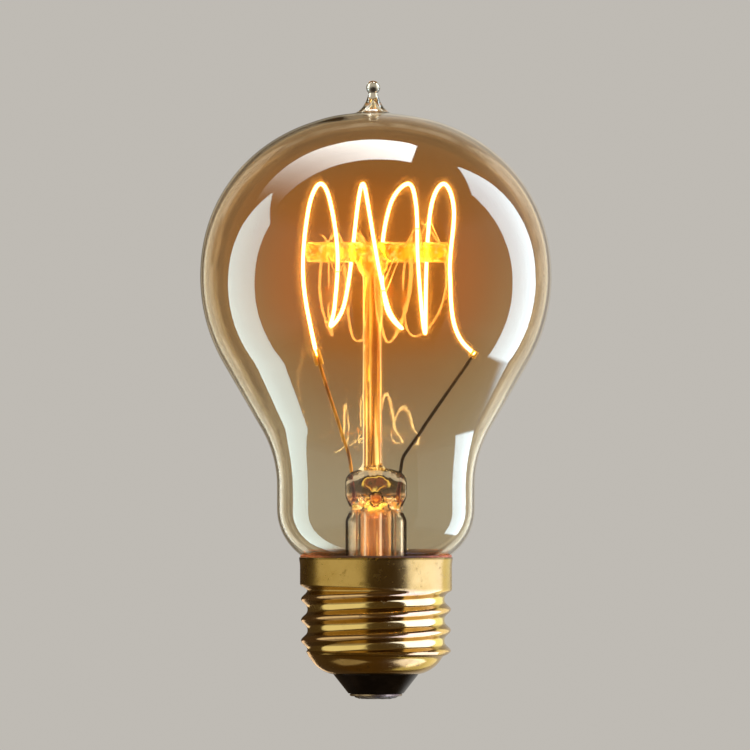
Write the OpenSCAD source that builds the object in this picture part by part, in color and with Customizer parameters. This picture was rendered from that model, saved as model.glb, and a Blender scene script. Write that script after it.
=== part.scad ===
// Filament lamp with a pear-shaped glass envelope, a pinched glass stem and an Edison screw cap.
// Millimetres. The origin is on the axis at the lowest face of the centre contact, +Z towards the tip.
// The leads, the glass crossbar and the loops of the filament spread along X.

/* [Screw cap] */
// Outer radius at the thread crests
crest_r = 13.15; // [13:0.01:13.2]
// Depth of the thread, from crest to root
thread_deep = 1.15; // [0.9:0.01:1.2]
// Pitch of the thread
pitch = 3.629; // [3.5:0.01:3.8]
// Height of the threaded wall
thread_h = 10.3; // [9.5:0.1:14]
// Height of a crest above the start of the thread, on the +X side
crest_rise = 3.6; // [3.4:0.1:4.4]
// Thickness of the brass sheet
shell_t = 0.35; // [0.25:0.01:0.4]
// Step of the plain skirt outside the thread crests
skirt_step = 0.15; // [0.05:0.01:0.4]
// Height of the skirt, from its step to its rim
skirt_h = 6.2; // [6:0.1:9]
// Radius of the hole in the bottom of the shell
lip_r = 7.4; // [6.8:0.1:8]
// Height of the curved bottom of the shell
cup_h = 3.95; // [3.4:0.05:4.4]
// Outward bulge of the curved bottom
cup_bulge = 0.9; // [0.7:0.05:1.1]

/* [Base insulator and centre contact] */
// Height of the insulator below the shell
insulator_h = 3.35; // [2.8:0.05:4.5]
// Height of the insulator inside the shell
insulator_seat_h = 2.6; // [2:0.1:3.4]
// Radius of the contact plate
contact_r = 4.6; // [4.2:0.1:4.8]
// Thickness of the contact plate
contact_t = 0.5; // [0.4:0.05:0.8]
// Outer radius of the eyelet that holds the plate
eyelet_r = 1.2; // [1.1:0.05:1.6]
// Bore of the eyelet
eyelet_bore_r = 0.8; // [0.6:0.05:0.9]
// Height of the eyelet above the plate
eyelet_h = 1.6; // [1.2:0.1:2.2]
// Radius of the solder on the plate
solder_r = 3.8; // [3:0.1:4.1]
// Height of the solder under the plate
solder_h = 0.5; // [0.3:0.05:0.8]

/* [Basing cement and side joint] */
// Width of the cement between the glass collar and the skirt
cement_t = 0.55; // [0.5:0.01:0.75]
// Height of the cement in the skirt
cement_h = 4.2; // [3.4:0.1:4.3]
// Height of the cement line above the rim
cement_rise = 0.35; // [0.25:0.05:0.5]
// Depth of the wire hole below the rim
side_hole_drop = 0.6; // [0.5:0.05:1.2]
// Radius of the solder bead over the wire hole
side_solder_r = 0.95; // [0.8:0.05:1.1]

/* [Glass envelope] */
// Wall of the envelope
glass_t = 0.7; // [0.5:0.05:0.9]
// Outward radius of the shoulder above the cap
shoulder_r = 10.2; // [9:0.1:12]
// Outer radius of the neck
neck_r = 17.3; // [16.8:0.1:18]
// Length of the straight neck
neck_len = 3.9; // [2:0.1:8]
// Hollow radius between the neck and the flank
neck_fillet_r = 19.9; // [14:0.1:26]
// Angle of the flank from the vertical
flank_angle = 30.2; // [27:0.1:34]
// Greatest outer radius of the globe
globe_r = 30.75; // [29:0.05:34]
// Radius of the globe's arc below its greatest width
globe_arc_r = 30.2; // [26:0.1:31]
// Height of the crown above the greatest width
crown_h = 28.7; // [26:0.1:34]
// Fullness of the crown, where 2 is an ellipse
crown_power = 2.1; // [2:0.05:2.3]

/* [Tip] */
// Offset of the tip to the left of the axis
tip_offset = 0.5; // [0:0.1:1]
// Radius of the foot of the tip
tip_foot_r = 2.7; // [2.2:0.1:3.2]
// Radius of the thin neck of the tip
tip_neck_r = 0.8; // [0.6:0.02:0.9]
// Radius of the melted bead on the tip
tip_bead_r = 1.22; // [1:0.02:1.4]
// Inward curve of the drawn foot of the tip
tip_hollow = 0.4; // [0.2:0.05:0.9]
// Height of the bead's centre above the dome
tip_bead_rise = 4.5; // [4:0.1:6]
// Radius of the hole from the envelope into the tip
tip_hole_r = 1.1; // [0.8:0.05:1.3]

/* [Glass stem] */
// Outer radius of the flare tube
flare_r = 5.35; // [5.2:0.05:5.8]
// Wall of the flare tube
flare_t = 0.85; // [0.7:0.05:0.9]
// Outer radius of the waist under the press
waist_r = 4.6; // [4.5:0.05:4.9]
// Height of the waist above the rim of the cap
waist_rise = 8.4; // [8:0.1:12]
// Height of the rim where the flare tube joins the collar
flare_rim_h = 0.8; // [0.6:0.1:1.2]
// Outer radius of the exhaust tube
exhaust_r = 3; // [2.7:0.05:3.05]
// Wall of the exhaust tube
exhaust_t = 0.8; // [0.6:0.05:0.9]
// Length of the exhaust tube, with its sealed end
exhaust_len = 19; // [16:0.1:20]
// Radius of the passage from the exhaust tube through the press
passage_r = 1.1; // [0.8:0.05:1.3]
// Width of the press
press_w = 10.7; // [10.4:0.1:11.4]
// Thickness of the press
press_t = 4.2; // [3.8:0.1:5]
// Height of the press above the waist
press_h = 7.3; // [6.8:0.1:9]
// Rise of the domed top of the press
press_dome = 1.2; // [0.9:0.1:1.6]

/* [Glass rod and crossbar] */
// Radius of the glass rod
rod_r = 1.7; // [1.4:0.05:1.9]
// Offset of the rod to the left of the axis
rod_offset = 0.6; // [0:0.1:1]
// Height of the crossbar's axis above the press
bar_rise = 37.7; // [34:0.1:40]
// Radius of the crossbar
bar_r = 1.8; // [1.6:0.05:2]
// Length of the crossbar
bar_len = 25; // [24:0.1:27]
// Offset of the crossbar to the right of the axis
bar_offset = 0.3; // [0:0.1:0.6]
// Radius of the melted boss between rod and crossbar
boss_r = 2.9; // [2.6:0.1:3.2]
// Depth of the boss below the crossbar's axis
boss_drop = 4.2; // [3.8:0.1:4.8]

/* [Wires] */
// Diameter of the inner leads and of the seal wires
lead_d = 0.6; // [0.4:0.05:0.65]
// Diameter of the copper tails below the press
tail_d = 0.3; // [0.2:0.02:0.34]
// Diameter of the anchor wires
anchor_d = 0.25; // [0.2:0.01:0.3]
// Distance between the seal wires at the waist
seal_gap_low = 6.8; // [6.7:0.02:6.9]
// Distance between the seal wires at the top of the press
seal_gap_top = 8.4; // [8.2:0.1:9]
// Radius of the clamps at the ends of the filament
clamp_r = 0.75; // [0.65:0.05:0.9]

/* [Filament] */
// Diameter of the filament strand
strand_d = 0.6; // [0.4:0.02:0.64]
// Half depth of the loops, in front of and behind the crossbar
loop_depth = 5; // [4:0.1:7]
// Height of the loops above the crossbar's axis
loop_rise = 12; // [10:0.1:14]
// Depth of the filament's ends below the crossbar's axis
end_drop = 17.1; // [16:0.1:18]

/* [Hidden] */
$fn = 48;
eps = 0.01;
// Clearance between a wire and the glass or metal that holds it
fit_gap = 0.02;

// Heights of the cap, from the contact upwards
contact_z = solder_h;
insulator_z = contact_z + contact_t;
lip_z = insulator_z + insulator_h;
thread_z = lip_z + cup_h;
step_z = thread_z + thread_h;
step_top_z = step_z + shell_t;
rim_z = step_z + skirt_h;
root_r = crest_r - thread_deep;
skirt_r = crest_r + skirt_step;
skirt_in_r = skirt_r - shell_t;
collar_r = skirt_in_r - cement_t;
step_round = 0.6;
side_hole_z = rim_z - side_hole_drop;

// Heights of the stem: the side tail wire passes between the step and the flare's rim
wire_slot_z = step_top_z + tail_d / 2 + 0.05;
flare_low_z = wire_slot_z + tail_d / 2 + 0.1;
collar_z = flare_low_z + flare_rim_h;
waist_z = rim_z + waist_rise;
taper_h = 2.2;
trumpet_r = 5.2;
press_z = waist_z + press_h;
bar_z = press_z + bar_rise;
exhaust_low_z = waist_z - exhaust_len;
exhaust_seal_h = 3;

// Outline of the envelope, upwards: collar, shoulder arc, neck, hollow fillet, flank, globe arc, crown
collar_dip = 0.12;
shoulder_x = neck_r - shoulder_r;
shoulder_angle = acos((collar_r - shoulder_x) / shoulder_r);
shoulder_z = rim_z - collar_dip + shoulder_r * sin(shoulder_angle);
neck_z = shoulder_z + neck_len;
globe_x = globe_r - globe_arc_r;
flank_top_r = globe_x + globe_arc_r * cos(flank_angle);
flank_low_r = neck_r + neck_fillet_r * (1 - cos(flank_angle));
flank_len = (flank_top_r - flank_low_r) / sin(flank_angle);
globe_z = neck_z + (neck_fillet_r + globe_arc_r) * sin(flank_angle) + flank_len * cos(flank_angle);
tip_land_r = tip_foot_r + tip_offset;

// Arc of radius r about c, from angle a to angle b
function arc(c, r, a, b, n) = [for (i = [0:n]) c + r * [cos(a + (b - a) * i / n), sin(a + (b - a) * i / n)]];

// Arc from p to q whose middle stands s to the right of the chord, drawn g inside itself
function bulge_arc(p, q, s, n, g = 0) =
    let (d = q - p, c = norm(d), r = (c * c / 4 + s * s) / (2 * s))
    let (centre = (p + q) / 2 - (r - s) * [d[1], -d[0]] / c, a = atan2(p[1] - centre[1], p[0] - centre[0]))
    arc(centre, r - g, a, a + 2 * asin(c / 2 / r), n);

// Crown of the envelope g inside its outer face, as far as radius low_r
function crown_end(g, low_r) = acos(pow(low_r / (globe_r - g), crown_power / 2));
function crown(g, low_r, n) = [for (i = [1:n]) let (t = crown_end(g, low_r) * i / n) [
    (globe_r - g) * pow(cos(t), 2 / crown_power), globe_z + (crown_h - g) * pow(sin(t), 2 / crown_power)]];
function envelope_line(g, low_z) = concat(
    [[collar_r - g, low_z]],
    arc([shoulder_x, shoulder_z], shoulder_r - g, -acos((collar_r - g - shoulder_x) / (shoulder_r - g)), 0, 10),
    arc([neck_r + neck_fillet_r, neck_z], neck_fillet_r + g, 180, 180 - flank_angle, 8),
    arc([globe_x, globe_z], globe_arc_r - g, -flank_angle, 0, 10),
    crown(g, tip_land_r, 20)
);
tip_land_z = last(crown(0, tip_land_r, 20))[1];

function last(list) = list[len(list) - 1];
function unit(v) = v / norm(v);
function smooth(x) = let (t = min(1, max(0, x))) t * t * (3 - 2 * t);

// Round bar from a to b, and the bore of a wire with sharp corners
module bar_between(a, b, r) {
    d = b - a;
    translate(a)
        rotate([0, acos(d[2] / norm(d)), atan2(d[1], d[0])])
            cylinder(h = norm(d), r = r);
}

module wire_bore(path, r) {
    for (i = [0:len(path) - 2]) bar_between(path[i], path[i + 1], r);
    for (i = [1:1:len(path) - 2]) translate(path[i]) sphere(r = r);
}

// Path of a wire with its inner corners bent round a length b of each straight
function bend(p, q, r, b, u) =
    (1 - u) * (1 - u) * (q + b * unit(p - q)) + 2 * u * (1 - u) * q + u * u * (q + b * unit(r - q));
function bent(path, b) = concat(
    [path[0]],
    [for (i = [1:len(path) - 2], u = [0:0.25:1]) bend(path[i - 1], path[i], path[i + 1], b, u)],
    [last(path)]
);

// Closed tube of s sides through a list of points, no stretch of which runs along the direction level
function tube_tangent(path, i) =
    let (n = len(path), into = i > 0 ? unit(path[i] - path[i - 1]) : [0, 0, 0],
        onward = i < n - 1 ? unit(path[i + 1] - path[i]) : [0, 0, 0])
    unit(into + onward);
function tube_ring(path, i, r, s, level) =
    let (t = tube_tangent(path, i), u = unit(cross(t, level)), v = cross(t, u))
    [for (k = [0:s - 1]) path[i] + r * (cos(360 * k / s) * u + sin(360 * k / s) * v)];

module tube(path, r, s = 6, level = [1, 0, 0]) {
    n = len(path);
    points = concat([for (i = [0:n - 1]) each tube_ring(path, i, r, s, level)], [path[0], path[n - 1]]);
    walls = [for (i = [0:n - 2], k = [0:s - 1])
        let (a = i * s + k, b = i * s + (k + 1) % s)
        each [[a, a + s, b], [b, a + s, b + s]]];
    first_end = [for (k = [0:s - 1]) [n * s, k, (k + 1) % s]];
    last_end = [for (k = [0:s - 1]) [n * s + 1, (n - 1) * s + (k + 1) % s, (n - 1) * s + k]];
    polyhedron(points, concat(walls, first_end, last_end));
}

// Screw shell: threaded sheet with its curved bottom, a flat step and the plain skirt
thread_fade = 1.2;
thread_run_out = 0.5;
thread_sharpness = 1.3;
thread_rows = 29;
cup_rows = 5;
thread_sides = 44;
thread_top_z = step_z + shell_t / 2;

function thread_depth(z) =
    (crest_r - root_r) * smooth((z - thread_z + thread_fade / 2) / thread_fade)
    * smooth((step_z - z) / thread_run_out);
function thread_ridge(z, a) =
    pow((1 + cos(360 * (z - thread_z - crest_rise) / pitch - a)) / 2, thread_sharpness);
function shell_line(g) = concat(
    bulge_arc([lip_r, lip_z], [root_r, thread_z], cup_bulge, cup_rows, g),
    [for (i = [1:thread_rows]) [root_r - g, thread_z + (thread_top_z - thread_z) * i / thread_rows]]
);
function shell_ring(p) = [for (k = [0:thread_sides - 1])
    let (a = 360 * k / thread_sides, r = p[0] + thread_depth(p[1]) * thread_ridge(p[1], a))
    [r * cos(a), r * sin(a), p[1]]];

module threaded_wall() {
    outside = shell_line(0);
    inside = shell_line(shell_t);
    n = len(outside);
    rings = concat(outside, [for (i = [n - 1:-1:0]) inside[i]]);
    points = [for (p = rings) each shell_ring(p)];
    s = thread_sides;
    faces = [for (i = [0:2 * n - 1], k = [0:s - 1])
        let (j = (i + 1) % (2 * n), m = (k + 1) % s)
        each [[i * s + k, j * s + k, i * s + m], [i * s + m, j * s + k, j * s + m]]];
    polyhedron(points, faces);
}

module skirt_wall() {
    rotate_extrude()
        polygon(concat(
            [[root_r - shell_t - 0.1, step_z]],
            bulge_arc([skirt_r - step_round, step_z], [skirt_r, step_z + step_round], 0.29 * step_round, 6),
            [[skirt_r, rim_z], [skirt_in_r, rim_z], [skirt_in_r, step_top_z + step_round - shell_t]],
            [[skirt_in_r - step_round + shell_t, step_top_z], [root_r - shell_t - 0.1, step_top_z]]
        ));
}

module screw_shell() color("goldenrod") union() {
    threaded_wall();
    difference() {
        skirt_wall();
        bar_between(side_tail_path[3], side_tail_path[4], tail_d / 2 + fit_gap);
    }
}

// Glass insulator, contact plate with its eyelet, and the solder on it
module base_insulator() color([0.06, 0.06, 0.07]) rotate_extrude() {
    seat_r = lip_r - 0.1;
    flange_r = lip_r + 1.1;
    polygon([
        [eyelet_r + fit_gap, insulator_z], [contact_r + 0.25, insulator_z], [lip_r + 0.05, lip_z - 0.05],
        [seat_r, lip_z - 0.05], [seat_r, lip_z + shell_t + 0.1], [flange_r, lip_z + shell_t + 0.45],
        [flange_r, lip_z + insulator_seat_h - 0.5], [flange_r - 0.5, lip_z + insulator_seat_h],
        [eyelet_r + fit_gap, lip_z + insulator_seat_h]
    ]);
}

module centre_contact() color("darkkhaki") rotate_extrude() polygon(concat(
    [[eyelet_bore_r, contact_z], [contact_r - contact_t / 2, contact_z]],
    arc([contact_r - contact_t / 2, contact_z + contact_t / 2], contact_t / 2, -90, 90, 8),
    [[eyelet_r, insulator_z], [eyelet_r, insulator_z + eyelet_h], [eyelet_bore_r, insulator_z + eyelet_h]]
));

solder_flat_r = 2;
tail_end_z = contact_z + 0.1;
module contact_solder() color("silver") difference() {
    rotate_extrude() polygon(concat(
        [[0, 0], [solder_flat_r, 0]],
        bulge_arc([solder_flat_r, 0], [solder_r, contact_z], 0.12 * solder_h, 6),
        [[eyelet_bore_r, contact_z], [eyelet_bore_r, insulator_z + eyelet_h / 2], [0, insulator_z + eyelet_h / 2]]
    ));
    translate([0, 0, tail_end_z]) cylinder(h = insulator_h, r = tail_d / 2);
}

// Solid of revolution inside the outer face of the envelope, or g inside it
module envelope_solid(g, low_z) {
    outline = envelope_line(g, low_z);
    rotate_extrude() polygon(concat([[0, low_z]], outline, [[0, last(outline)[1]]]));
}

module glass_envelope() color([0.95, 0.85, 0.65, 0.25]) difference() {
    envelope_solid(0, collar_z);
    envelope_solid(glass_t, collar_z - 1);
    translate([-tip_offset, 0, tip_land_z - 2 * glass_t]) cylinder(h = 3 * glass_t, r = tip_hole_r);
}

// Sealed tip: a hollow foot drawn into a thin neck, with a melted bead on top
module exhaust_tip() color([0.95, 0.9, 0.8, 0.5])
    translate([-tip_offset, 0, tip_land_z]) {
        neck_rise = tip_bead_rise - sqrt(pow(tip_bead_r, 2) - pow(tip_neck_r, 2));
        foot = bulge_arc([tip_neck_r, neck_rise], [tip_foot_r, 0], tip_hollow, 10);
        hollow_h = 0.6 * neck_rise;
        difference() {
            union() {
                translate([0, 0, tip_bead_rise]) sphere(r = tip_bead_r);
                rotate_extrude() polygon(concat([[0, 0]], [for (i = [10:-1:0]) foot[i]], [[0, tip_bead_rise]]));
            }
            translate([0, 0, -eps]) cylinder(h = hollow_h, r1 = tip_hole_r, r2 = 0.25);
        }
    }

// Cement between the collar and the skirt, standing a little above the rim
module basing_cement() color([0.72, 0.36, 0.18]) difference() {
    union() {
        translate([0, 0, rim_z - cement_h]) cylinder(h = cement_h + cement_rise, r = skirt_in_r);
        translate([0, 0, rim_z]) cylinder(h = cement_rise, r = skirt_r - 0.05);
    }
    envelope_solid(0, rim_z - cement_h - 1);
    wire_bore([for (i = [2:4]) side_tail_path[i]], tail_d / 2);
}

// Flare tube: a rim under the collar, a trumpet, the straight tube and the taper to the waist
module stem_flare() color([0.9, 0.9, 0.85, 0.4]) rotate_extrude() {
    trumpet_z = flare_low_z + flare_rim_h + trumpet_r;
    polygon(concat(
        [[collar_r, flare_low_z], [collar_r, collar_z], [flare_r + trumpet_r, collar_z]],
        arc([flare_r + trumpet_r, trumpet_z], trumpet_r, 270, 180, 8),
        [[flare_r, waist_z - taper_h], [waist_r, waist_z], [waist_r - flare_t, waist_z]],
        [[flare_r - flare_t, waist_z - taper_h]],
        arc([flare_r + trumpet_r, trumpet_z], trumpet_r + flare_rim_h, 180, 270, 8)
    ));
}

// Points of the wires
seal_low = seal_gap_low / 2;
seal_top = seal_gap_top / 2;
seal_top_z = press_z - press_dome - 0.2;
seal_slope = (seal_top - seal_low) / (seal_top_z - waist_z);
lead_bend = 3.1;
function seal_point(side, z) = [side * (seal_low + seal_slope * (z - waist_z)), 0, z];

// Pinched press: a round root that flattens into a blade with a domed top, and the exhaust passage that
// turns to the front above the waist
press_spread_z = waist_z + 2.6;
module press_blade() {
    dome_z = press_z - press_dome;
    edge_z = press_z - press_t / 3;
    root_reach = waist_r + 0.4;
    intersection() {
        rotate_extrude() polygon([
            [0, waist_z], [waist_r, waist_z], [waist_r, waist_z + 0.4], [press_w / 2 + 0.1, press_spread_z],
            [press_w / 2 + 0.1, press_z + 1], [0, press_z + 1]
        ]);
        rotate([90, 0, 0]) linear_extrude(4 * press_t, center = true) polygon(concat(
            [[-press_w / 2, waist_z - 1], [press_w / 2, waist_z - 1]],
            bulge_arc([press_w / 2, dome_z], [-press_w / 2, dome_z], press_dome, 12)
        ));
        rotate([90, 0, 90]) linear_extrude(2 * press_w, center = true) polygon(concat(
            [[-root_reach, waist_z - 1], [root_reach, waist_z - 1], [root_reach, waist_z + 0.4]],
            [[press_t / 2, press_spread_z]],
            bulge_arc([press_t / 2, edge_z], [-press_t / 2, edge_z], press_t / 3, 8),
            [[-press_t / 2, press_spread_z], [-root_reach, waist_z + 0.4]]
        ));
    }
}

rod_seat_z = press_z - 2;
rod_foot_h = 1.9;
module stem_press() color([0.9, 0.88, 0.8, 0.45]) difference() {
    union() {
        press_blade();
        translate([-rod_offset, 0, press_z - 0.6]) cylinder(h = rod_foot_h, r1 = rod_r + 0.9, r2 = rod_r + 0.1);
    }
    for (side = [-1, 1]) bar_between(seal_point(side, waist_z - 1), seal_point(side, press_z + 2), lead_d / 2 + fit_gap);
    translate([-rod_offset, 0, rod_seat_z]) cylinder(h = press_h, r = rod_r);
    translate([0, 0, waist_z - 1]) cylinder(h = 1 + 2.1, r = passage_r);
    translate([0, 0, waist_z + 2.1]) rotate([90, 0, 0]) cylinder(h = 2 * press_t, r = passage_r);
}

// Exhaust tube, open to the press above and melted shut below
module exhaust_tube() color([0.9, 0.9, 0.85, 0.4]) rotate_extrude() {
    seal_z = exhaust_low_z + exhaust_seal_h;
    polygon(concat(
        [[exhaust_r, waist_z], [exhaust_r - exhaust_t, waist_z], [exhaust_r - exhaust_t, seal_z]],
        [[0, seal_z - exhaust_seal_h / 2], [0, exhaust_low_z], [0.35, exhaust_low_z]],
        bulge_arc([0.35, exhaust_low_z], [exhaust_r, seal_z], 0.35, 6)
    ));
}

// Glass rod, boss and crossbar
rod_top_z = bar_z - boss_drop + 1.2;
module glass_rod() color([0.98, 0.8, 0.35, 0.6])
    translate([-rod_offset, 0, rod_seat_z]) cylinder(h = rod_top_z - rod_seat_z, r = rod_r);

module crossbar_solid(r) {
    translate([bar_offset - bar_len / 2, 0, bar_z]) rotate([0, 90, 0]) rotate_extrude() polygon(concat(
        [[0, 0]], arc([r - 0.5, 0.5], 0.5, -90, 0, 4),
        arc([r - 0.5, bar_len - 0.5], 0.5, 0, 90, 4), [[0, bar_len]]
    ));
}

module rod_boss() color([0.98, 0.8, 0.3, 0.7]) difference() {
    translate([-rod_offset, 0, bar_z - boss_drop]) rotate_extrude() polygon(concat(
        [[0, 0], [rod_r + 0.15, 0]],
        bulge_arc([rod_r + 0.15, 0], [boss_r, boss_drop / 2], 0.25, 5),
        bulge_arc([boss_r, boss_drop / 2], [bar_r - 0.2, boss_drop + 0.4], 0.5, 6),
        [[0, boss_drop + 0.4]]
    ));
    translate([-rod_offset, 0, bar_z - boss_drop - 1]) cylinder(h = rod_top_z - bar_z + boss_drop + 1, r = rod_r);
    translate([-boss_r * 2, 0, bar_z]) rotate([0, 90, 0]) cylinder(h = boss_r * 4, r = bar_r);
}

module crossbar() color([1, 0.82, 0.2]) difference() {
    crossbar_solid(bar_r);
    for (i = [0:3]) {
        path = anchor_path(i);
        bar_between(path[0], path[1], anchor_d / 2 + fit_gap / 2);
        bar_between(path[5], path[4], anchor_d / 2 + fit_gap / 2);
    }
}

// Filament: the strand winds four times round the crossbar, up behind it and down in front of it.
// Each row holds one loop's X at every 45 degrees of its winding angle, from -135, low behind the
// crossbar, over the top at 0 to the foot at 180.
loop_x = [
    [-11, -12.8, -11.9, -9.7, -7.9, -6.7, -7.2, -7.9],
    [-5.6, -4.2, -3.2, -2.3, -1.4, 0.1, 2.1, 4.5],
    [1.8, 1, 2.5, 5.6, 7, 7.3, 8, 8.6],
    [8.7, 8.9, 9.7, 11.8, 13.6, 12.9, 14.8, 24.3]
];
start_x = -9.2;
foot_drop = [12.9, 13.3, 14.15];
loops = len(loop_x);
end_turn = 145;
rings_per_loop = 24;
route_x = concat(
    [2 * start_x - loop_x[0][0], start_x],
    [for (row = loop_x) each row],
    [2 * loop_x[loops - 1][7] - loop_x[loops - 1][6]]
);
end_reach = (loop_rise + end_drop) / ((1 - cos(end_turn)) / 2);
loop_height = concat([end_reach], [for (d = foot_drop) loop_rise + d], [end_reach]);

function catmull(p, q, r, s, u) = (2 * q + (r - p) * u + (2 * p - 5 * q + 4 * r - s) * u * u
    + (3 * q - p - 3 * r + s) * u * u * u) / 2;
function strand_x(a) = let (j = floor(a / 45) + 5, u = a / 45 - floor(a / 45))
    catmull(route_x[j - 1], route_x[j], route_x[j + 1], route_x[j + 2], u);
function strand_point(a) = [
    strand_x(a),
    -loop_depth * sin(a),
    bar_z + loop_rise - loop_height[floor(a / 360) + 1] * (1 - cos(a)) / 2
];
last_turn = 360 * (loops - 1) + end_turn;
ring_count = ceil((last_turn + end_turn) / 360 * rings_per_loop);
winding = [for (i = [0:ring_count]) strand_point(-end_turn + (last_turn + end_turn) * i / ring_count)];

// The strand runs on straight into its clamps
clamp_grip = 1;
start_dir = unit(winding[0] - winding[1]);
finish_dir = unit(winding[ring_count] - winding[ring_count - 1]);
strand_start = winding[0] + clamp_grip * start_dir;
strand_finish = winding[ring_count] + clamp_grip * finish_dir;
strand = concat([strand_start], winding, [strand_finish]);
least_gap = min([for (i = [0:len(strand) - 4], j = [i + 3:len(strand) - 1]) norm(strand[i] - strand[j])]) - strand_d;

module filament() color([1, 0.75, 0.25]) {
    echo(filament_least_gap_to_itself = least_gap);
    tube(strand, strand_d / 2);
}

// Leads: from the press to a clamp on each end of the strand
lead_end_gap = 0.5;
left_path = [
    seal_point(-1, seal_top_z), seal_point(-1, press_z + lead_bend - 1),
    strand_start + lead_end_gap * unit([1, -0.2, -3])
];
right_path = [
    seal_point(1, seal_top_z), seal_point(1, press_z + lead_bend - 1.3),
    seal_point(1, press_z + lead_bend + 0.4) + [0.9, 0, 0],
    strand_finish + lead_end_gap * unit([-2, 0.3, -3])
];

module left_seal_wire() color("indianred") bar_between(seal_point(-1, waist_z), seal_point(-1, seal_top_z), lead_d / 2);
module right_seal_wire() color("indianred") bar_between(seal_point(1, waist_z), seal_point(1, seal_top_z), lead_d / 2);
module left_lead() color("dimgray") tube(bent(left_path, 0.7), lead_d / 2, 12);
module right_lead() color("dimgray") tube(bent(right_path, 0.7), lead_d / 2, 12);

// Clamp round the end of a lead and the end of the strand
module clamp(lead_path, strand_end, strand_dir, above, below) {
    tip = last(lead_path);
    lead_dir = unit(tip - lead_path[len(lead_path) - 2]);
    difference() {
        bar_between(strand_end - below * lead_dir, strand_end + above * lead_dir, clamp_r);
        bar_between(tip - 3 * below * lead_dir, tip, lead_d / 2 + fit_gap);
        bar_between(strand_end, strand_end - 3 * (above + below) * strand_dir, strand_d / 2 + fit_gap);
    }
}

module left_clamp() color("tan") clamp(left_path, strand_start, start_dir, 0.9, 1.5);
module right_clamp() color("tan") clamp(right_path, strand_finish, finish_dir, 0.45, 0.9);

// Anchors: a wire from the crossbar that passes round one leg of each loop and returns to the crossbar.
// Each row holds the winding angle where it holds the strand and the X of its two feet.
anchors = [[104, -8.4, -5.2], [479, 3.2, 4.1], [787, 4.9, 8.1], [1018, 7.2, 11.6]];
hook_gap = strand_d / 2 + anchor_d / 2 + 0.08;

function anchor_foot(leg, x) = [x, 0, bar_z] + (bar_r - 0.7) * unit([0, leg[1], leg[2] - bar_z]);
function anchor_path(i) =
    let (leg = strand_point(anchors[i][0]), out = sign(leg[1]))
    [
        anchor_foot(leg, anchors[i][1]), leg + [-hook_gap, 0, 0], leg + [-hook_gap / 2, out * hook_gap, 0],
        leg + [hook_gap / 2, out * hook_gap, 0], leg + [hook_gap, 0, 0], anchor_foot(leg, anchors[i][2])
    ];

module anchor(i) color("slategray") tube(bent(anchor_path(i), 0.1), anchor_d / 2, 6, [0, 0, 1]);

// Copper tails: one to the centre contact, one through the cement to the skirt
centre_tail_path = [
    seal_point(1, waist_z), [seal_low, 0, exhaust_low_z + 0.5], [0, 0, lip_z + insulator_seat_h + 1.5],
    [0, 0, tail_end_z]
];
side_tail_r = (collar_r + skirt_in_r) / 2;
side_tail_path = [
    seal_point(-1, waist_z), [-seal_low, 0, wire_slot_z], [0, side_tail_r, wire_slot_z],
    [0, side_tail_r, side_hole_z], [0, skirt_r + side_solder_r / 2, side_hole_z]
];

module centre_tail_wire() color("peru") tube(bent(centre_tail_path, 1), tail_d / 2);
module side_tail_wire() color("peru")
    tube(concat(bent([for (i = [0:3]) side_tail_path[i]], 0.3), [side_tail_path[4]]), tail_d / 2);

module side_solder() color("silver") difference() {
    translate([0, skirt_r, side_hole_z]) sphere(r = side_solder_r);
    translate([0, 0, step_z]) cylinder(h = skirt_h + 2, r = skirt_r, $fn = 360);
    bar_between(side_tail_path[3], side_tail_path[4], tail_d / 2);
}

screw_shell();
base_insulator();
centre_contact();
contact_solder();
basing_cement();
side_solder();
stem_flare();
stem_press();
exhaust_tube();
glass_rod();
rod_boss();
crossbar();
anchor(0);  // anchor_1
anchor(1);  // anchor_2
anchor(2);  // anchor_3
anchor(3);  // anchor_4
left_seal_wire();
right_seal_wire();
left_lead();
right_lead();
left_clamp();
right_clamp();
centre_tail_wire();
side_tail_wire();
filament();
glass_envelope();
exhaust_tip();
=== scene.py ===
# Dresses the filament lamp: blown glass, pinched stem, glowing strand, wires and the rolled brass cap.
# Pieces are drawn in millimetres and shrunk to metres when they are finished.
import math

import bmesh
import bpy
from mathutils import Euler, Matrix, Quaternion, Vector, noise


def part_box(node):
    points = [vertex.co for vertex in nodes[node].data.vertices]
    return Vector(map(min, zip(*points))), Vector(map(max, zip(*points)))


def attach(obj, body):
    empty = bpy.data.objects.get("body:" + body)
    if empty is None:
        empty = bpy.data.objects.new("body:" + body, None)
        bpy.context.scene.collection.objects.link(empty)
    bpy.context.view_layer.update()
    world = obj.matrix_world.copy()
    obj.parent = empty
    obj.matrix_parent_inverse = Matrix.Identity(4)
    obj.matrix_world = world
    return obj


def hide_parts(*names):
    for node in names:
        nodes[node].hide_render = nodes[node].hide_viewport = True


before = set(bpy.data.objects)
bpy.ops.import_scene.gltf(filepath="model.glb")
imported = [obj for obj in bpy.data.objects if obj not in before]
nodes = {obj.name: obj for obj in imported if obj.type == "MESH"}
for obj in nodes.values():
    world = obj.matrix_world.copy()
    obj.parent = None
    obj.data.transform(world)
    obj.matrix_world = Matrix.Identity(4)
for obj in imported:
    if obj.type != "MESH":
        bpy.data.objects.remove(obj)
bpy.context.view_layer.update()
mm = 0.001
print("frame loaded:", len(nodes), "nodes")


# Shader and geometry maths

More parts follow.
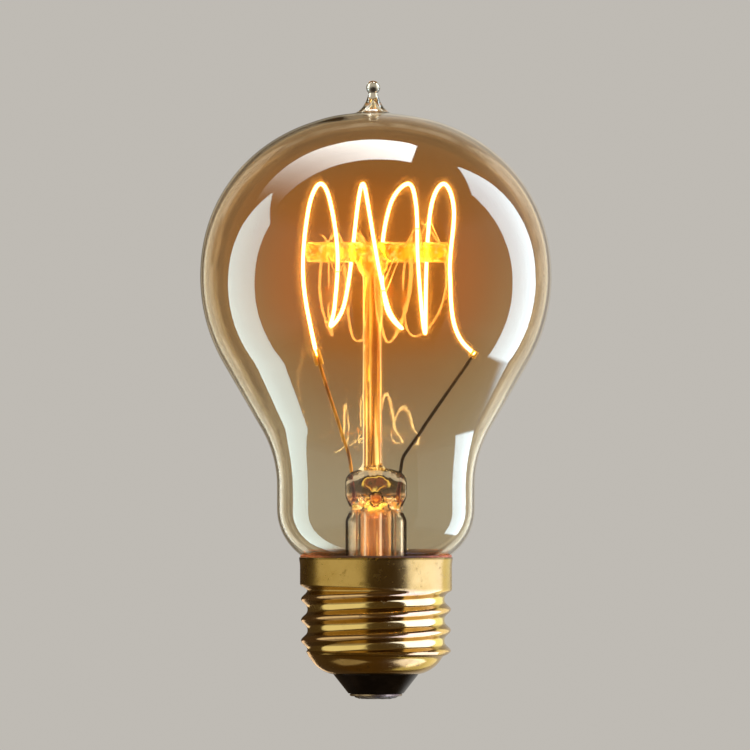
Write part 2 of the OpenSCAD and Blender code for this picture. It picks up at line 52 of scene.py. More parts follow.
class Term:
    # A socket of a node tree, written in expressions
    def __init__(self, tree, out=None):
        self.tree = tree
        self.out = out

    def node(self, kind, settings=None, inputs=None, output=0):
        made = self.tree.nodes.new(kind)
        for key, value in (settings or {}).items():
            setattr(made, key, value)
        for key, value in (inputs or {}).items():
            if isinstance(value, Term):
                self.tree.links.new(value.out, made.inputs[key])
            else:
                made.inputs[key].default_value = value
        return Term(self.tree, made.outputs[output])

    def math(self, operation, *values):
        return self.node("ShaderNodeMath", {"operation": operation}, dict(enumerate(values)))

    def __add__(self, other):
        return self.math("ADD", self, other)

    def __sub__(self, other):
        return self.math("SUBTRACT", self, other)

    def __rsub__(self, other):
        return self.math("SUBTRACT", other, self)

    def __mul__(self, other):
        return self.math("MULTIPLY", self, other)

    def __truediv__(self, other):
        return self.math("DIVIDE", self, other)

    def __pow__(self, other):
        return self.math("POWER", self, other)

    def __abs__(self):
        return self.math("ABSOLUTE", self)

    __radd__ = __add__
    __rmul__ = __mul__

    def axes(self):
        # the X, Y and Z of a vector
        split = self.node("ShaderNodeSeparateXYZ", None, {0: self}).out.node
        return [Term(self.tree, out) for out in split.outputs]

    def step(self, low, high, fromValue=0.0, toValue=1.0):
        # smooth step between two values of this one
        return self.node(
            "ShaderNodeMapRange", {"interpolation_type": "SMOOTHSTEP"},
            {"Value": self, "From Min": low, "From Max": high, "To Min": fromValue, "To Max": toValue},
        )

    def between(self, rise, fall):
        # 1 from a smooth rise up to a smooth fall
        return self.step(*rise) * (1 - self.step(*fall))

    def band(self, middle, half):
        # 1 within half of the middle, fading over the next half
        return 1 - abs(self - middle).step(half, 2 * half)


def length(a, b):
    return (a * a + b * b) ** 0.5


def blendColour(share, under, over):
    under, over = (colour if isinstance(colour, Term) else (*colour, 1) for colour in (under, over))
    return share.node("ShaderNodeMix", {"data_type": "RGBA"}, {0: share, 6: under, 7: over}, 2)


def layered(colour, *layers):
    # lays colours over one another, each as far as its share says
    for share, over in layers:
        colour = blendColour(share, colour, over)
    return colour


def mixShaders(share, under, over):
    return over.node("ShaderNodeMixShader", None, {0: share, 1: under, 2: over})


def newMaterial(name, values):
    # an empty tree with its Principled shader set; what varies is linked by the caller
    made = bpy.data.materials.new(name)
    made.use_nodes = True
    tree = made.node_tree
    tree.nodes.clear()
    output = tree.nodes.new("ShaderNodeOutputMaterial")
    shader = tree.nodes.new("ShaderNodeBsdfPrincipled")
    for key, value in values.items():
        shader.inputs[key].default_value = value
    tree.links.new(shader.outputs[0], output.inputs["Surface"])
    return made, shader, Term(tree).node("ShaderNodeTexCoord", output="Object")


def feed(shader, key, value):
    value.tree.links.new(value.out, shader.inputs[key])


def feedBump(shader, strength, distance, height):
    bump = height.node("ShaderNodeBump", None, {"Strength": strength, "Distance": distance, "Height": height})
    feed(shader, "Normal", bump)


def setSurface(result):
    # gives the tree's output this shader
    output = next(node for node in result.tree.nodes if node.type.startswith("OUTPUT"))
    feed(output, "Surface", result)


def cloud(here, scale, detail=3, roughness=0.55, stretch=(1, 1, 1)):
    place = here.node("ShaderNodeMapping", None, {"Vector": here, "Scale": stretch})
    look = {"Vector": place, "Scale": scale, "Detail": detail, "Roughness": roughness}
    return here.node("ShaderNodeTexNoise", None, look)


def facingOf(here):
    # 0 where the surface faces the eye, 1 along its outline
    return here.node("ShaderNodeLayerWeight", None, {"Blend": 0.5}, "Facing")


def isRay(here, kind):
    return here.node("ShaderNodeLightPath", output=f"Is {kind} Ray")


def seenRays(here):
    # above 0 for what the camera sees straight, in mirrors or through glass
    return isRay(here, "Camera") + isRay(here, "Glossy") + isRay(here, "Transmission")


def letLampsThrough(shader, here, tint, haze=0, edge=None):
    # lamps shine through without caustics; haze blurs what is behind the glass, edge mixes in a painted dark
    # shade
    glass = Term(here.tree, shader.outputs[0])
    if haze:
        bloom = {"Color": (1, 0.6, 0.25, 1), "Roughness": 0.22, "IOR": 1.5}
        glass = mixShaders(haze, glass, here.node("ShaderNodeBsdfRefraction", None, bloom))
    if edge:
        dark = here.node("ShaderNodeBsdfDiffuse", None, {"Color": (0.012, 0.006, 0.004, 1)})
        glass = mixShaders(edge, glass, dark)
    clear = here.node("ShaderNodeBsdfTransparent", None, {"Color": (*tint, 1)})
    setSurface(mixShaders(isRay(here, "Shadow"), glass, clear))


def newTree(name, inputs):
    # an empty geometry group with its inputs, given back as Terms by name
    tree = bpy.data.node_groups.new(name, "GeometryNodeTree")
    for key, kind in inputs.items():
        tree.interface.new_socket(key, in_out="INPUT", socket_type="NodeSocket" + kind)
    tree.interface.new_socket("Result", in_out="OUTPUT", socket_type="NodeSocketGeometry")
    given = tree.nodes.new("NodeGroupInput")
    return tree, {socket.name: Term(tree, socket) for socket in given.outputs if socket.name}


def endTree(tree, shape, finish=None):
    shape = shape.node("GeometryNodeRealizeInstances", None, {0: shape})
    shape = shape.node("GeometryNodeSetMaterial", None, {"Geometry": shape, "Material": finish})
    tree.links.new(shape.out, tree.nodes.new("NodeGroupOutput").inputs[0])
    return tree


# Mesh helpers

def smooth(x):
    x = min(1, max(0, x))
    return x * x * (3 - 2 * x)


def arc(cx, cz, r, a, b, n):
    turns = [math.radians(a + (b - a) * i / n) for i in range(n + 1)]
    return [(cx + r * math.cos(t), cz + r * math.sin(t)) for t in turns]


def bezier(p, q, r, s, n):
    points = []
    for i in range(n + 1):
        u = i / n
        v = 1 - u
        weights = (v**3, 3 * v * v * u, 3 * v * u * u, u**3)
        points.append(tuple(sum(w * corner[k] for w, corner in zip(weights, (p, q, r, s))) for k in range(2)))
    return points


def addObject(name, data):
    made = bpy.data.objects.new(name, data)
    bpy.context.scene.collection.objects.link(made)
    return made


def meshFromRings(name, rings):
    # rings are lists of points; a ring of one point is a pole
    mesh = bmesh.new()
    rows = [[mesh.verts.new(p) for p in ring] for ring in rings]
    for low, high in zip(rows, rows[1:]):
        n = max(len(low), len(high))
        for k in range(n):
            a, b = low[k % len(low)], low[(k + 1) % len(low)]
            c, d = high[(k + 1) % len(high)], high[k % len(high)]
            mesh.faces.new(list(dict.fromkeys((a, b, c, d))))
    mesh.normal_update()
    data = bpy.data.meshes.new(name)
    bmesh.ops.recalc_face_normals(mesh, faces=mesh.faces)
    mesh.to_mesh(data)
    mesh.free()
    return addObject(name, data)


def ringAt(r, z, sides):
    if r < 1e-6:
        return [(0, 0, z)]
    turns = [2 * math.pi * k / sides for k in range(sides)]
    return [(r * math.cos(t), r * math.sin(t), z) for t in turns]


def lathe(name, outline, sides):
    return meshFromRings(name, [ringAt(r, z, sides) for r, z in outline])


def weld(made, distance=1e-4):
    mesh = bmesh.new()
    mesh.from_mesh(made.data)
    bmesh.ops.remove_doubles(mesh, verts=mesh.verts, dist=distance)
    bmesh.ops.recalc_face_normals(mesh, faces=mesh.faces)
    mesh.to_mesh(made.data)
    mesh.free()


def bake(made):
    # turns the modifiers' result into the object's own plain mesh
    bpy.context.view_layer.update()
    evaluated = made.evaluated_get(bpy.context.evaluated_depsgraph_get())
    data = bpy.data.meshes.new_from_object(evaluated)
    made.modifiers.clear()
    made.data = data


def finishPiece(made, material, replaced, crease):
    # metres, material, smooth faces with sharp creases and a body
    made.data.transform(Matrix.Scale(mm, 4))
    made.data.materials.clear()
    made.data.materials.append(material)
    made.data.shade_smooth()
    if crease:
        made.data.set_sharp_from_angle(angle=math.radians(crease))
    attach(made, "root")
    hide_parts(*replaced)
    return made


def boxMm(node):
    low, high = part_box(node)
    return low / mm, high / mm


rimZ = boxMm("screw_shell")[1].z
waistZ = boxMm("stem_press")[0].z
sealCover = 1.4  # glass of the press above its wires
pressZ = boxMm("left_seal_wire")[1].z + sealCover
barZ = (boxMm("crossbar")[0].z + boxMm("crossbar")[1].z) / 2


# Camera, lamps and stage

studio = {
    "photoPixel": 0.175, "frameSize": 750, "axisPixel": 376, "contactPixel": 699, "distance": 3600,
    "sensor": 36, "farClip": 30,
    "paleColour": (0.52, 0.495, 0.455), "diffuseShare": 0.8, "floorDrop": 1150, "floorR": 2600,
    "floorGlow": 0.45, "floorFade": 0.45, "darkCard": (0.06, 0.04, 0.022), "cardFade": 0.4, "maskEdge": 0.012,
}


def makeCamera():
    s = studio
    data = bpy.data.cameras.new("camera")
    data.sensor_width = s["sensor"]
    data.lens = s["sensor"] * s["distance"] / (s["photoPixel"] * s["frameSize"])
    data.clip_end = s["farClip"]
    camera = addObject("camera", data)
    x = (s["frameSize"] / 2 - s["axisPixel"]) * s["photoPixel"]
    z = (s["contactPixel"] - s["frameSize"] / 2) * s["photoPixel"]
    camera.location = Vector((x, -s["distance"], z)) * mm
    camera.rotation_euler = Euler((math.pi / 2, 0, 0))
    bpy.context.scene.camera = camera


def makeWorld():
    world = bpy.data.worlds.new("paleRoom")
    world.use_nodes = True
    tree = world.node_tree
    tree.nodes.clear()
    tree.nodes.new("ShaderNodeOutputWorld")
    seen = seenRays(Term(tree))
    seen = seen.node("ShaderNodeClamp", None, {"Value": seen})
    share = seen * (1 - studio["diffuseShare"]) + studio["diffuseShare"]
    look = {"Color": (*studio["paleColour"], 1), "Strength": share}
    setSurface(seen.node("ShaderNodeBackground", None, look))
    bpy.context.scene.world = world


def makeFloor():
    # a round floor that fades into the room towards its rim
    drop, reach, pale = -studio["floorDrop"], studio["floorR"], (*studio["paleColour"], 1)
    floor = lathe("floor", [(0, drop), (reach, drop)], 96)
    material, shader, here = newMaterial("paleFloor", {"Base Color": pale, "Roughness": 0.9})
    share = seenRays(here) * studio["floorGlow"]
    glow = here.node("ShaderNodeEmission", None, {"Color": pale, "Strength": share})
    lit = here.node("ShaderNodeAddShader", None, {0: Term(here.tree, shader.outputs[0]), 1: glow})
    away = here.node("ShaderNodeVectorMath", {"operation": "LENGTH"}, {0: here}, "Value")
    rim = away.step(studio["floorFade"] * reach * mm, reach * mm)
    setSurface(mixShaders(rim, lit, here.node("ShaderNodeBsdfTransparent")))
    floor.data.transform(Matrix.Scale(mm, 4))
    floor.data.materials.append(material)


def maskLamp(data, foot, top, slope):
    # fades a lamp in over its foot and cuts its top off at a slant, all in shares of its height
    data.use_nodes = True
    tree = data.node_tree
    shader = next(node for node in tree.nodes if node.type == "EMISSION")
    across, up, _ = Term(tree).node("ShaderNodeNewGeometry", output="Parametric").axes()
    cut = up - (across - 0.5) * slope
    feed(shader, "Strength", up.step(*foot) * (1 - cut.step(top, top + studio["maskEdge"])))


def makeLamp(name, azimuth, elevation, distance, width, height, radiance, colour=(1, 1, 1), aim=60,
             turn=0, lean=0, mask=None):
    # azimuth runs from the camera's side, positive to the right; radiance is what a mirror would show;
    # the lamp faces the aimed height, then turns about the vertical and leans in its own plane
    data = bpy.data.lights.new(name, "AREA")
    data.shape = "RECTANGLE"
    data.size = width * mm
    data.size_y = height * mm
    data.energy = radiance * math.pi * width * height * mm * mm
    data.color = colour
    lamp = addObject(name, data)
    a, e = math.radians(azimuth), math.radians(elevation)
    away = Vector((math.sin(a) * math.cos(e), -math.cos(a) * math.cos(e), math.sin(e)))
    lamp.location = (away * distance + Vector((0, 0, aim))) * mm
    upright = Quaternion((0, 0, 1), math.radians(turn)) @ away.to_track_quat("Z", "Y")
    lamp.rotation_euler = (upright @ Quaternion((0, 0, 1), math.radians(lean))).to_euler()
    lamp.visible_camera = False
    lamp.visible_transmission = False
    if mask:
        maskLamp(data, *mask)
    return lamp


def makeCard(name, corners, colour=studio["darkCard"], fade=None):
    # a dark cloth beside the lamps, which only mirrors see; fade gives the radii over which it thins out
    data = bpy.data.meshes.new(name)
    data.from_pydata([Vector(c) * mm for c in corners], [], [(0, 1, 2, 3)])
    card = addObject(name, data)
    material, _, here = newMaterial(name, {"Base Color": (0, 0, 0, 1), "Roughness": 1})
    glow = here.node("ShaderNodeEmission", None, {"Color": (*colour, 1)})
    if fade:
        x, y, _ = here.axes()
        share = length(x, y).step(fade[0] * mm, fade[1] * mm)
        glow = mixShaders(share, glow, here.node("ShaderNodeBsdfTransparent"))
    setSurface(glow)
    data.materials.append(material)
    for ray in ("camera", "diffuse", "transmission", "volume_scatter", "shadow"):
        setattr(card, "visible_" + ray, False)


def standingCard(name, azimuth, distance, width, height, aim=20):
    a = math.radians(azimuth)
    middle = Vector((math.sin(a), -math.cos(a), 0)) * distance + Vector((0, 0, aim))
    side = Vector((math.cos(a), math.sin(a), 0)) * width / 2
    up = Vector((0, 0, height / 2))
    makeCard(name, [middle - side - up, middle + side - up, middle + side + up, middle - side + up])


def lyingCard(name, z, half, colour):
    corners = [(-half, -half, z), (half, -half, z), (half, half, z), (-half, half, z)]
    makeCard(name, corners, colour, (studio["cardFade"] * half, half))


def lightOnly(lamps, pieces, name):
    # these lamps shine on these pieces alone
    group = bpy.data.collections.new(name)
    for piece in pieces:
        group.objects.link(piece)
    for lamp in lamps:
        lamp.light_linking.receiver_collection = group


makeCamera()
makeWorld()
makeFloor()
glassLamps = [
    makeLamp("stripLeft", -102, -14, 590, 305, 1700, 8, (0.82, 1.06, 1.08), turn=24, lean=-4,
             mask=((0, 0.28), 0.9, -0.21)),
    makeLamp("stripRight", 115, -1.5, 610, 330, 1780, 9.5, (0.81, 1.02, 1.13), turn=-22, lean=7,
             mask=((0.295, 0.315), 0.91, 0.17)),
    makeLamp("patchAbove", -120.2, 67.6, 703, 290, 1010, 19, (0.96, 1, 0.98), lean=32.5,
             mask=((0, 1), 0.958, 0.02)),
]
# small lamps for the pieces inside the glass, and two seen only through its edges
innerLamps = [
    makeLamp("innerLeft", -101, 0, 600, 60, 200, 24),
    makeLamp("innerRight", 114, 0, 600, 90, 200, 34),
    makeLamp("innerAbove", -12, 70, 600, 200, 60, 24),
]
edgeLamps = [
    makeLamp("edgeLeft", -150, 0, 900, 260, 1200, 1.35, (0.92, 1, 1.05)),
    makeLamp("edgeRight", 150, 0, 900, 260, 1200, 1.35, (0.92, 1, 1.05)),
]
for lamp in edgeLamps:
    lamp.visible_transmission = True
    lamp.visible_glossy = False
capLamps = [
    makeLamp("boxLeft", -60, -19, 700, 1230, 2000, 0.25, (1, 1, 1.05), 20),
    makeLamp("boxRight", 84, -14, 700, 1000, 1900, 1.6, (0.9, 1.08, 2.4), 20),
    makeLamp("boxBehind", 135, -14, 700, 430, 1700, 0.62, (1.05, 1.12, 0.75), 20),
    makeLamp("boxEdge", -163, -12, 700, 300, 130, 1.1, (1, 0.8, 0.6), 20),
]
softAbove = makeLamp("softAbove", 0, 80, 900, 900, 900, 0.9)
softAbove.visible_glossy = False
standingCard("cardFront", 17, 1000, 1300, 2200)
standingCard("cardLeft", -142, 900, 1400, 2200)
lyingCard("cardBelow", -1100, 2400, (0.065, 0.037, 0.01))
lyingCard("cardAbove", 1100, 2400, (0.09, 0.06, 0.03))
scene = bpy.context.scene
scene.view_settings.view_transform = "Standard"
print("camera, lamps and floor made")


# Glass

envelope = {
    "wall": 0.7, "collarR": 12.4, "shoulderR": 10.2, "neckR": 17.3, "neckLength": 3.9, "filletR": 19.9,
    "flankAngle": 30.2, "globeR": 30.75, "globeArcR": 30.2, "crownHeight": 28.7, "crownPower": 2.1,
    "dip": 0.12, "sides": 224, "tipLandR": 3.4, "tipHoleR": 2.2, "tipShift": 0.5, "shiftRise": 1.6,
    "tipNeckR": 0.8, "beadR": 1.22, "beadRise": 4.5,
    # where the glass's colour and its painted glow and shade change, in metres
    "amberGlowFrom": (0.034, 0.07), "clearFrom": (0.1022, 0.1034), "paleFrom": (0.064, 0.088),
    "haloFrom": (0.05, 0.07), "haloTo": (0.088, 0.1),
    "beadShadeX": -0.0005, "beadShadeZ": 0.10665, "beadShadeRim": (0.0003, 0.00052),
}


def envelopeLine(inset, lowR):
    # from the collar up to radius lowR on the crown, inset from the outer face
    e = envelope
    angle = e["flankAngle"]
    turn = math.radians(angle)
    shoulderX = e["neckR"] - e["shoulderR"]
    fall = math.acos((e["collarR"] - shoulderX) / e["shoulderR"])
    shoulderZ = rimZ - e["dip"] + e["shoulderR"] * math.sin(fall)
    neckZ = shoulderZ + e["neckLength"]
    globeX = e["globeR"] - e["globeArcR"]
    flankTop = globeX + e["globeArcR"] * math.cos(turn)
    flankLow = e["neckR"] + e["filletR"] * (1 - math.cos(turn))
    flank = (flankTop - flankLow) / math.sin(turn)
    globeZ = neckZ + (e["filletR"] + e["globeArcR"]) * math.sin(turn) + flank * math.cos(turn)
    shoulderArc = e["shoulderR"] - inset
    start = -math.degrees(math.acos((e["collarR"] - inset - shoulderX) / shoulderArc))
    line = [(e["collarR"] - inset, boxMm("glass_envelope")[0].z)]
    line += arc(shoulderX, shoulderZ, shoulderArc, start, 0, 24)
    line += arc(e["neckR"] + e["filletR"], neckZ, e["filletR"] + inset, 180, 180 - angle, 20)
    line += arc(globeX, globeZ, e["globeArcR"] - inset, -angle, 0, 28)
    reach = e["globeR"] - inset
    last = math.acos((lowR / reach) ** (e["crownPower"] / 2))
    for i in range(1, 61):
        t = last * i / 60
        line.append((reach * math.cos(t) ** (2 / e["crownPower"]),
                     globeZ + (e["crownHeight"] - inset) * math.sin(t) ** (2 / e["crownPower"])))
    return line


def makeEnvelope(material):
    e = envelope
    outer = envelopeLine(0, e["tipLandR"])
    landR, landZ = outer[-1]
    neckTop = landZ + e["beadRise"] - math.sqrt(e["beadR"] ** 2 - e["tipNeckR"] ** 2)
    start = -math.degrees(math.acos(e["tipNeckR"] / e["beadR"]))
    foot = (landR, landZ), (2.3, landZ + 0.25), (1.2, landZ + 1.5), (e["tipNeckR"], neckTop)
    outer += bezier(*foot, 22)[1:]
    outer += arc(0, landZ + e["beadRise"], e["beadR"], start, 90, 16)[1:]
    outer[-1] = (0, outer[-1][1])
    inner = envelopeLine(e["wall"], e["tipHoleR"])
    innerR, innerZ = inner[-1]
    hollow = (innerR, innerZ), (innerR - 0.6, innerZ + 0.1), (0.7, landZ + 0.4), (0, landZ + 2.3)
    inner += bezier(*hollow, 14)[1:]
    made = lathe("blownEnvelope", inner[::-1] + outer, e["sides"])
    for vertex in made.data.vertices:
        vertex.co.x -= e["tipShift"] * smooth((vertex.co.z - landZ + e["shiftRise"]) / e["shiftRise"])
    return finishPiece(made, material, ["glass_envelope", "exhaust_tip"], 50)


stem = {
    "flareR": 5.35, "wall": 0.85, "waistR": 4.6, "taper": 2.2, "rimHeight": 0.8, "trumpetR": 5.2,
    "exhaustR": 3, "exhaustWall": 0.8, "passageR": 1.1, "pressWidth": 10.7, "pressThickness": 4.2,
    "pressDome": 1.2, "pressEdge": 1.3, "pressPinch": 0.12, "spread": 2.6, "holeRise": 2.1, "flareGap": 0.02,
    "sides": 128,
    # painted glow, highlights and shade in the glass, in metres: the highlight lines by X, the rest by its
    # drop below the press's top
    "coreR": (0.003, 0.0033), "wallR": ((0.0031, 0.0033), (0.0046, 0.0048)), "highlightLineX": (-0.00185, 0.0008),
    "lineHalf": 0.00012, "warp": 0.0022, "domeHighlightDrop": 0.0008, "domeHighlightBend": 70, "archDrop": 0.0029,
    "archHalf": (0.0024, 0.0014), "stalkDrop": 0.0028, "knotDrop": 0.0041, "ballDrop": 0.0056,
    "smileR": 0.0018,
}


def superRing(a, b, power, height, sides):
    # rounded section of half width a and half depth b; height(x) gives its z
    points = []
    for k in range(sides):
        t = 2 * math.pi * k / sides
        c, s = math.cos(t), math.sin(t)
        x = a * math.copysign(abs(c) ** (2 / power), c)
        y = b * math.copysign(abs(s) ** (2 / power), s)
        points.append((x, y, height(x)))
    return points


def makeStem(material):
    s = stem
    sides = s["sides"]
    a, b, edge = s["pressWidth"] / 2, s["pressThickness"] / 2, s["pressEdge"]
    lowZ = boxMm("stem_flare")[0].z
    exhaustZ = boxMm("exhaust_tube")[0].z

    def dome(drop):
        return lambda x: pressZ - drop - s["pressDome"] * (x / a) ** 2

    rings = [[(0, 0, pressZ)]]
    for share in (0.35, 0.7):
        rings.append(superRing(share * (a - edge), share * (b - edge), 3, dome(0), sides))
    for turn in range(90, -1, -15):
        out, up = edge * math.cos(math.radians(turn)), edge * math.sin(math.radians(turn))
        rings.append(superRing(a - edge + out, b - edge + out, 4, dome(edge - up), sides))
    spreadZ = waistZ + s["spread"]
    for i in range(1, 7):
        z = pressZ - edge - s["pressDome"] + (spreadZ + s["pressDome"] + edge - pressZ) * i / 6
        pinch = s["pressPinch"] * math.sin(math.pi * i / 6)
        rings.append(superRing(a, b - pinch, 4, lambda x, z=z: z, sides))
    for i in range(1, 11):
        u = smooth(i / 10)
        z = spreadZ + (waistZ - spreadZ) * i / 10
        width, depth = a + (s["waistR"] - a) * u, b + (s["waistR"] - b) * u
        rings.append(superRing(width, depth, 4 - 2 * u, lambda x, z=z: z, sides))
    flareEdge, rimTop = envelope["collarR"] - s["flareGap"], lowZ + s["rimHeight"]
    trumpetX, trumpetZ = s["flareR"] + s["trumpetR"], rimTop + s["trumpetR"]
    swell = s["waistR"] - s["flareR"]
    line = [(s["flareR"] + swell * (1 - smooth(i / 8)), waistZ - s["taper"] * i / 8) for i in range(1, 9)]
    line += arc(trumpetX, trumpetZ, s["trumpetR"], 180, 270, 12)
    line += [(flareEdge, rimTop), (flareEdge, lowZ)]
    line += arc(trumpetX, trumpetZ, s["trumpetR"] + s["rimHeight"], 270, 180, 12)
    boreR = s["flareR"] - s["wall"]
    narrow = s["waistR"] - s["wall"] - boreR
    foot = waistZ - s["taper"]
    line += [(boreR, foot - 0.4)]
    line += [(boreR + narrow * smooth(i / 6), foot + (s["taper"] - 0.5) * i / 6) for i in range(1, 7)]
    crotch = (s["waistR"] - s["wall"] - s["exhaustR"]) / 2
    line += arc(s["exhaustR"] + crotch, waistZ - 0.5, crotch, 0, 180, 6)[1:]
    line += [(s["exhaustR"], exhaustZ + 3.4)]
    low = (s["exhaustR"], exhaustZ + 3), (s["exhaustR"], exhaustZ + 1.6), (1.2, exhaustZ + 0.2), (0, exhaustZ)
    line += bezier(*low, 10)
    rings += [ringAt(r, z, sides) for r, z in line]
    made = meshFromRings("pinchedStem", rings)

    boreR = s["exhaustR"] - s["exhaustWall"]
    passageR, holeZ = s["passageR"], waistZ + s["holeRise"]
    topZ = holeZ + passageR * 0.9
    low = (0.4, exhaustZ + 2.1), (1.4, exhaustZ + 2.4), (boreR, exhaustZ + 2.8), (boreR, exhaustZ + 4)
    high = (boreR, waistZ - 1.2), (boreR, waistZ), (passageR, waistZ + 0.2), (passageR, waistZ + 1.4)
    line = [(0, exhaustZ + 2)] + bezier(*low, 6) + bezier(*high, 8)
    line += [(passageR, topZ - 0.5), (0.7, topZ - 0.1), (0, topZ)]
    bore = lathe("exhaustBore", line, 64)
    hole = lathe("blowHole", [(0, 0), (passageR * 0.98, 0), (passageR * 0.98, 8), (0, 8)], 48)
    hole.data.transform(Matrix.Translation((0, 0, holeZ)) @ Matrix.Rotation(math.pi / 2, 4, "X"))
    for cutter in (bore, hole):
        cut = made.modifiers.new("cut", "BOOLEAN")
        cut.operation = "DIFFERENCE"
        cut.solver = "EXACT"
        cut.object = cutter
    bake(made)
    for cutter in (bore, hole):
        bpy.data.objects.remove(cutter)
    return finishPiece(made, material, ["stem_flare", "stem_press", "exhaust_tube"], 40)


rod = {
    "rodR": 1.7, "rodShift": 0.6, "barR": 1.8, "barLength": 25, "barShift": 0.3, "barRound": 0.75,
    "bossR": 2.9, "bossDrop": 4.2, "footR": 2.55, "footHeight": 1.6, "voxel": 0.16, "rounds": 9,
    # where the lit glass's painted glow, highlights and reflection change, in metres
    "barFrom": (0.0735, 0.0765), "bossX": -0.0006, "bossHalf": 0.002, "upperFrom": (0.06, 0.072),
    "reflectionX": -0.00125, "reflectionHalf": 0.0001, "reflectionTop": (0.0575, 0.059), "reflectionChange": (0.0555, 0.056),
    "leftHighlight": (-0.0022, -0.002),
}


def makeRod(material):
    # rod, boss and crossbar melted into one another
    r = rod
    rodR, bossR, bossZ = r["rodR"], r["bossR"], barZ - r["bossDrop"]
    line = [(0, pressZ - 0.5), (r["footR"], pressZ - 0.5)]
    line += bezier((r["footR"], pressZ - 0.2), (rodR + 0.15, pressZ + 0.1), (rodR, pressZ + 0.6),
                   (rodR, pressZ + r["footHeight"]), 8)
    line += [(rodR, bossZ), (0, bossZ)]
    upright = lathe("glassRod", line, 48)
    line = [(0, bossZ - 0.6), (rodR * 0.98, bossZ - 0.6)]
    line += bezier((rodR, bossZ), (bossR, bossZ + 1.2), (bossR + 0.2, barZ - 1.2), (bossR - 0.7, barZ), 8)
    line += [(1.2, barZ + 0.9), (0, barZ + 1)]
    boss = lathe("rodBoss", line, 48)
    for made in (upright, boss):
        made.data.transform(Matrix.Translation((-r["rodShift"], 0, 0)))
    half, end = r["barLength"] / 2, r["barRound"]
    line = [(0, -half)] + arc(r["barR"] - end, -half + end, end, -90, 0, 5)
    line += arc(r["barR"] - end, half - end, end, 0, 90, 5) + [(0, half)]
    bar = lathe("crossbarGlass", line, 48)
    bar.data.transform(Matrix.Translation((r["barShift"], 0, barZ)) @ Matrix.Rotation(math.pi / 2, 4, "Y"))
    whole = bmesh.new()
    for made in (upright, boss, bar):
        whole.from_mesh(made.data)
        bpy.data.objects.remove(made)
    data = bpy.data.meshes.new("glassCross")
    whole.to_mesh(data)
    whole.free()
    made = addObject("glassCross", data)
    melt = made.modifiers.new("melt", "REMESH")
    melt.mode = "VOXEL"
    melt.voxel_size = r["voxel"]
    soften = made.modifiers.new("soften", "SMOOTH")
    soften.factor = 0.5
    soften.iterations = r["rounds"]
    bake(made)
    return finishPiece(made, material, ["glass_rod", "rod_boss", "crossbar"], 0)


def envelopeMaterial():
    made, shader, here = newMaterial("blownGlass", {
        "Roughness": 0, "IOR": 1.5, "Transmission Weight": 1, "Emission Strength": 1,
    })
    e = envelope
    facing = facingOf(here)
    x, _, height = here.axes()
    # amber in the glass round the strand, faded along the outline: the glass's own colour with the strand's
    # glow painted in
    amberCloud = cloud(here, 45, 2)
    body = height.step(*e["amberGlowFrom"]) * (1 - facing.step(0.4, 0.85)) * (0.8 + amberCloud * 0.4)
    body = body * (1 - height.step(*e["clearFrom"]))
    sides = blendColour(height.step(*e["paleFrom"]), (0.72, 0.67, 0.5), (0.64, 0.49, 0.31))
    warm = blendColour(facing.step(0.06, 0.36), (0.64, 0.39, 0.17), sides)
    # the thick-looking rim is painted: a painted dark shade line inside it, a painted pale highlight beside
    # that and another at the very edge, and the outline itself painted dark
    broken = cloud(here, 90, 2, 0.6)
    inner = facing.between((0.53, 0.56), (0.575, 0.605)) * broken.step(0.3, 0.5)
    pale = facing.between((0.61, 0.64), (0.66, 0.7)) * broken.step(0.4, 0.6)
    outer = facing.between((0.84, 0.88), (0.92, 0.96))
    feed(shader, "Base Color", layered(
        (0.78, 0.745, 0.61), (body, warm), (inner * 0.8, (0.34, 0.27, 0.19)),
        (facing.step(0.93, 1), (0.3, 0.28, 0.24)),
    ))
    # painted glow: the globe round the strand glows faintly amber
    halo = height.between(e["haloFrom"], e["haloTo"]) * (1 - facing.step(0.03, 0.3))
    feed(shader, "Emission Color", layered(
        (0, 0, 0), (halo, (0.055, 0.018, 0.002)), (pale, (0.12, 0.105, 0.075)), (outer, (0.2, 0.18, 0.13)),
    ))
    feedBump(shader, 0.25, 0.0004, cloud(here, 60, 1, 0.5, (1, 1, 0.45)))
    # painted shade: a dark spot in the middle of the tip's bead
    eye = 1 - length(x - e["beadShadeX"], height - e["beadShadeZ"]).step(*e["beadShadeRim"])
    letLampsThrough(shader, here, (0.96, 0.93, 0.88), 0.05, eye * 0.75)
    return made


